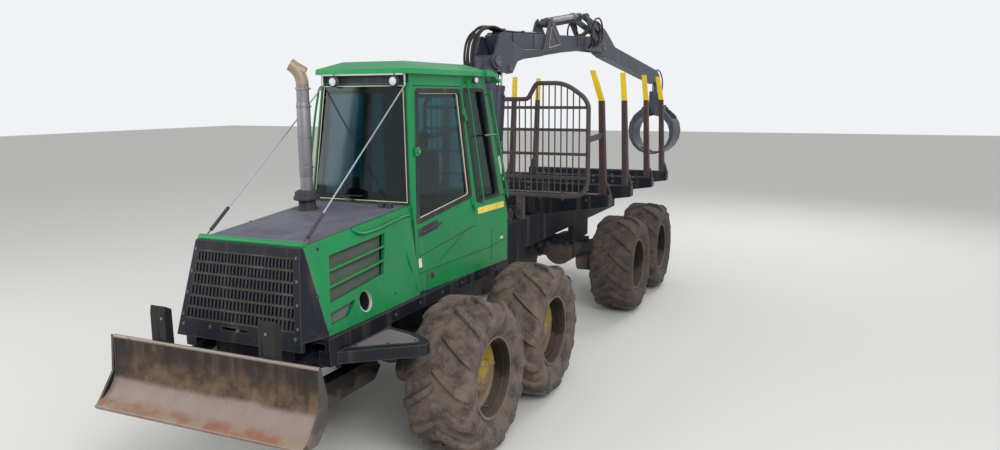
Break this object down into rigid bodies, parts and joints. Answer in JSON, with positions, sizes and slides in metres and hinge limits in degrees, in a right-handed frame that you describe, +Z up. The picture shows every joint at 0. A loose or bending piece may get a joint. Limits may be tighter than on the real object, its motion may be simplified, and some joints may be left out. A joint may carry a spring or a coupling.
{
  "type": "forestry forwarder",
  "caption": "Eight-wheeled forestry forwarder, steered at its centre joint, with a dozer blade, a cab, a load bed with stakes and a folding crane with a grapple.",
  "frame": {"origin": "on the ground under the middle of the machine's length and width, as its box is measured", "axes": "+Z up, +X to the machine's left, and the machine looks along -Y"},
  "size_m": [2.86, 10.824, 4.192],
  "materials": {
    "frame_paint": "satin",
    "green_paint": "gloss",
    "grey_steel": "matt",
    "blade_steel": "matt",
    "rim_paint": "satin",
    "tyre_rubber": "matt",
    "crane_paint": "satin",
    "rail_steel": "matt",
    "stake_paint": "matt",
    "rod_chrome": "polished",
    "glass": "gloss",
    "seat_fabric": "matt",
    "lamp_plastic": "satin"
  },
  "bodies": {
    "front_frame": {"front_chassis": "frame_paint", "front_bogie": "frame_paint", "engine": "grey_steel", "hood": "green_paint", "grille": "frame_paint", "exhaust": "grey_steel", "cab_shell": "green_paint", "cab_roof": "green_paint", "cab_windows": "glass", "seat": "seat_fabric", "window_guards": "frame_paint", "guard_wires": "grey_steel", "work_lamps": "lamp_plastic"},
    "door": {"door": "green_paint", "door_window": "glass"},
    "blade": {"blade": "blade_steel"},
    "blade_barrels": {"blade_barrels": "frame_paint"},
    "blade_rods": {"blade_rods": "rod_chrome"},
    "centre_joint": {"centre_joint": "frame_paint"},
    "steer_barrel_left": {"steer_barrel_left": "frame_paint"},
    "steer_rod_left": {"steer_rod_left": "rod_chrome"},
    "steer_barrel_right": {"steer_barrel_right": "frame_paint"},
    "steer_rod_right": {"steer_rod_right": "rod_chrome"},
    "rear_frame": {"rear_chassis": "frame_paint", "rear_bogie": "frame_paint", "headboard": "rail_steel", "bunks": "frame_paint", "stakes": "stake_paint"},
    "crane_column": {"crane_column": "crane_paint"},
    "lift_barrel": {"lift_barrel": "crane_paint"},
    "lift_rod": {"lift_rod": "rod_chrome"},
    "main_boom": {"main_boom": "crane_paint"},
    "fold_barrel": {"fold_barrel": "crane_paint"},
    "fold_rod": {"fold_rod": "rod_chrome"},
    "fold_links": {"fold_links": "grey_steel"},
    "fold_struts": {"fold_struts": "grey_steel"},
    "outer_boom": {"outer_boom": "crane_paint"},
    "extension": {"extension": "crane_paint"},
    "rotator_link": {"rotator_link": "crane_paint"},
    "grapple_head": {"grapple_head": "crane_paint"},
    "jaw_left": {"jaw_left": "crane_paint"},
    "jaw_right": {"jaw_right": "crane_paint"},
    "wheel_1_left": {"rim_1_left": "rim_paint", "tyre_1_left": "tyre_rubber"},
    "wheel_1_right": {"rim_1_right": "rim_paint", "tyre_1_right": "tyre_rubber"},
    "wheel_2_left": {"rim_2_left": "rim_paint", "tyre_2_left": "tyre_rubber"},
    "wheel_2_right": {"rim_2_right": "rim_paint", "tyre_2_right": "tyre_rubber"},
    "wheel_3_left": {"rim_3_left": "rim_paint", "tyre_3_left": "tyre_rubber"},
    "wheel_3_right": {"rim_3_right": "rim_paint", "tyre_3_right": "tyre_rubber"},
    "wheel_4_left": {"rim_4_left": "rim_paint", "tyre_4_left": "tyre_rubber"},
    "wheel_4_right": {"rim_4_right": "rim_paint", "tyre_4_right": "tyre_rubber"}
  },
  "joints": [
    {"name": "wheel_1_left_spin", "type": "hinge", "parent": "front_frame", "child": "wheel_1_left", "pos_m": [1.13, -3.44204, 0.67], "axis": [1, 0, 0], "continuous": true},
    {"name": "wheel_1_right_spin", "type": "hinge", "parent": "front_frame", "child": "wheel_1_right", "pos_m": [-1.13, -3.44204, 0.67], "axis": [1, 0, 0], "continuous": true},
    {"name": "wheel_2_left_spin", "type": "hinge", "parent": "front_frame", "child": "wheel_2_left", "pos_m": [1.13, -1.97204, 0.67], "axis": [1, 0, 0], "continuous": true},
    {"name": "wheel_2_right_spin", "type": "hinge", "parent": "front_frame", "child": "wheel_2_right", "pos_m": [-1.13, -1.97204, 0.67], "axis": [1, 0, 0], "continuous": true},
    {"name": "wheel_3_left_spin", "type": "hinge", "parent": "rear_frame", "child": "wheel_3_left", "pos_m": [1.13, 1.49796, 0.67], "axis": [1, 0, 0], "continuous": true},
    {"name": "wheel_3_right_spin", "type": "hinge", "parent": "rear_frame", "child": "wheel_3_right", "pos_m": [-1.13, 1.49796, 0.67], "axis": [1, 0, 0], "continuous": true},
    {"name": "wheel_4_left_spin", "type": "hinge", "parent": "rear_frame", "child": "wheel_4_left", "pos_m": [1.13, 2.96796, 0.67], "axis": [1, 0, 0], "continuous": true},
    {"name": "wheel_4_right_spin", "type": "hinge", "parent": "rear_frame", "child": "wheel_4_right", "pos_m": [-1.13, 2.96796, 0.67], "axis": [1, 0, 0], "continuous": true},
    {"name": "steer", "type": "hinge", "parent": "front_frame", "child": "centre_joint", "pos_m": [0, -1.20704, 1.06], "axis": [0, 0, 1], "range_deg": [-42, 42]},
    {"name": "frame_roll", "type": "hinge", "parent": "centre_joint", "child": "rear_frame", "pos_m": [0, -1.02704, 1.06], "axis": [0, 1, 0], "range_deg": [-15, 15]},
    {"name": "steer_barrel_left_swing", "type": "hinge", "parent": "front_frame", "child": "steer_barrel_left", "pos_m": [0.2, -1.87704, 1.06], "axis": [0, 0, 1], "range_deg": [-0.2, 0.2]},
    {"name": "steer_rod_left_slide", "type": "slide", "parent": "steer_barrel_left", "child": "steer_rod_left", "axis": [0.0447, 0.999, 0], "range_m": [-0.1588, 0.1588]},
    {"name": "steer_barrel_right_swing", "type": "hinge", "parent": "front_frame", "child": "steer_barrel_right", "pos_m": [-0.2, -1.87704, 1.06], "axis": [0, 0, 1], "range_deg": [-0.2, 0.2]},
    {"name": "steer_rod_right_slide", "type": "slide", "parent": "steer_barrel_right", "child": "steer_rod_right", "axis": [-0.0447, 0.999, 0], "range_m": [-0.1588, 0.1588]},
    {"name": "door_hinge", "type": "hinge", "parent": "front_frame", "child": "door", "pos_m": [0.66813, -2.2779, 1.75456], "axis": [-0.088, -0.043, 0.9952], "range_deg": [0, 80]},
    {"name": "blade_lift", "type": "hinge", "parent": "front_frame", "child": "blade", "pos_m": [0, -3.95704, 0.8], "axis": [1, 0, 0], "range_deg": [0, 31]},
    {"name": "blade_barrels_swing", "type": "hinge", "parent": "front_frame", "child": "blade_barrels", "pos_m": [0, -4.48704, 1.17], "axis": [1, 0, 0], "range_deg": [0, 45.25]},
    {"name": "blade_rods_slide", "type": "slide", "parent": "blade_barrels", "child": "blade_rods", "axis": [0, -0.9806, -0.1961], "range_m": [0, 0.31288]},
    {"name": "slew", "type": "hinge", "parent": "rear_frame", "child": "crane_column", "pos_m": [0, -0.75704, 2], "axis": [0, 0, 1], "range_deg": [-85, 265]},
    {"name": "boom_lift", "type": "hinge", "parent": "crane_column", "child": "main_boom", "pos_m": [0.01706, -0.61809, 3.42], "axis": [0.9925, -0.1219, 0], "range_deg": [-17, 60]},
    {"name": "lift_barrel_swing", "type": "hinge", "parent": "crane_column", "child": "lift_barrel", "pos_m": [0.04144, -0.41958, 2.37], "axis": [0.9925, -0.1219, 0], "range_deg": [-1.17, 4.12]},
    {"name": "lift_rod_slide", "type": "slide", "parent": "lift_barrel", "child": "lift_rod", "axis": [0.0136, 0.1107, 0.9938], "range_m": [-0.0891, 0.31448]},
    {"name": "boom_fold", "type": "hinge", "parent": "main_boom", "child": "outer_boom", "pos_m": [0.40582, 2.54814, 3.74], "axis": [-0.9925, 0.1219, 0], "range_deg": [-9, 24]},
    {"name": "fold_barrel_swing", "type": "hinge", "parent": "main_boom", "child": "fold_barrel", "pos_m": [0.19621, 0.84096, 3.97], "axis": [0.9925, -0.1219, 0], "range_deg": [-1.71, 4.56]},
    {"name": "fold_rod_slide", "type": "slide", "parent": "fold_barrel", "child": "fold_rod", "axis": [0.1204, 0.9803, 0.1567], "range_m": [-0.05839, 0.1557]},
    {"name": "fold_links_swing", "type": "hinge", "parent": "main_boom", "child": "fold_links", "pos_m": [0.36805, 2.24045, 3.785], "axis": [0.9925, -0.1219, 0], "range_deg": [-20.37, 7.64]},
    {"name": "fold_struts_swing", "type": "hinge", "parent": "outer_boom", "child": "fold_struts", "pos_m": [0.39851, 2.48858, 3.985], "axis": [0.9925, -0.1219, 0], "range_deg": [-5.47, 14.58]},
    {"name": "telescope", "type": "slide", "parent": "outer_boom", "child": "extension", "axis": [0.1204, 0.9803, -0.1564], "range_m": [0, 1.5]},
    {"name": "grapple_swing", "type": "hinge", "parent": "extension", "child": "rotator_link", "pos_m": [0.72841, 5.17541, 3.32076], "axis": [0.9925, -0.1219, 0], "range_deg": [-40, 40]},
    {"name": "rotator", "type": "hinge", "parent": "rotator_link", "child": "grapple_head", "pos_m": [0.72841, 5.17541, 2.91076], "axis": [0, 0, 1], "continuous": true},
    {"name": "jaw_right_open", "type": "hinge", "parent": "grapple_head", "child": "jaw_right", "pos_m": [0.59938, 5.19125, 2.76076], "axis": [0.1219, 0.9925, 0], "range_deg": [0, 55]},
    {"name": "jaw_left_open", "type": "hinge", "parent": "grapple_head", "child": "jaw_left", "pos_m": [0.85744, 5.15957, 2.76076], "axis": [0.1219, 0.9925, 0], "range_deg": [-55, 0]}
  ],
  "couplings": [
    {"joint": "steer_barrel_left_swing", "follows": "steer", "ratio": -0.004537},
    {"joint": "steer_rod_left_slide", "follows": "steer", "m_per_rad": 0.21664},
    {"joint": "steer_barrel_right_swing", "follows": "steer", "ratio": -0.004537},
    {"joint": "steer_rod_right_slide", "follows": "steer", "m_per_rad": -0.21664},
    {"joint": "blade_barrels_swing", "follows": "blade_lift", "ratio": 1.4309},
    {"joint": "blade_rods_slide", "follows": "blade_lift", "m_per_rad": 0.57255},
    {"joint": "lift_barrel_swing", "follows": "boom_lift", "ratio": 0.067364},
    {"joint": "lift_rod_slide", "follows": "boom_lift", "m_per_rad": 0.29733},
    {"joint": "fold_barrel_swing", "follows": "boom_fold", "ratio": 0.18635},
    {"joint": "fold_rod_slide", "follows": "boom_fold", "m_per_rad": 0.36802},
    {"joint": "fold_links_swing", "follows": "boom_fold", "ratio": -0.83199},
    {"joint": "fold_struts_swing", "follows": "boom_fold", "ratio": 0.59561},
    {"joint": "jaw_left_open", "follows": "jaw_right_open", "ratio": -1}
  ]
}
